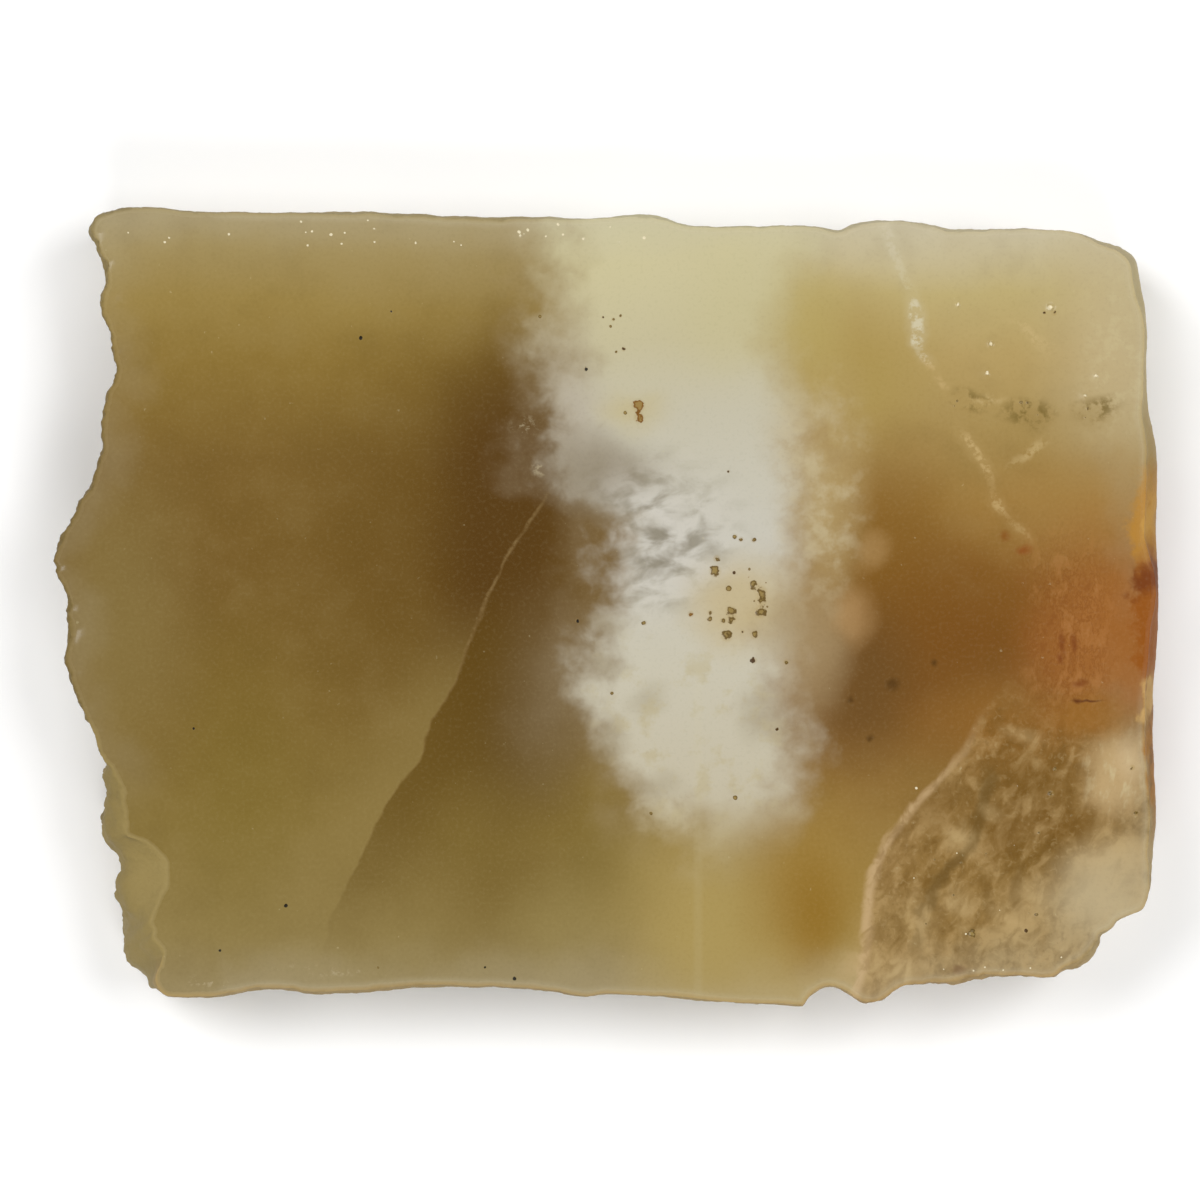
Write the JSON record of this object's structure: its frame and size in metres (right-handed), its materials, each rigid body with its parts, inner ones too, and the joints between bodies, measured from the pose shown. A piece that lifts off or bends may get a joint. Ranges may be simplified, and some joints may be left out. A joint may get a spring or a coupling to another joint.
{
  "type": "raw jade slab",
  "caption": "Rough slab of raw jade sawn from a boulder, with flat faces, a broken end and natural skin on the other end. Lies flat.",
  "frame": {"origin": "middle of the slab's bounding box in plan, on the surface that the back face rests on", "axes": "+X along the length, from the broken end to the end with natural skin; +Y across the width; +Z out of the face that shows"},
  "size_m": [0.15, 0.1084, 0.018],
  "materials": {
    "jade": "sawn and smoothed faces, rough broken and weathered edges"
  },
  "bodies": {
    "root": {"jade_slab": "jade"}
  },
  "joints": []
}
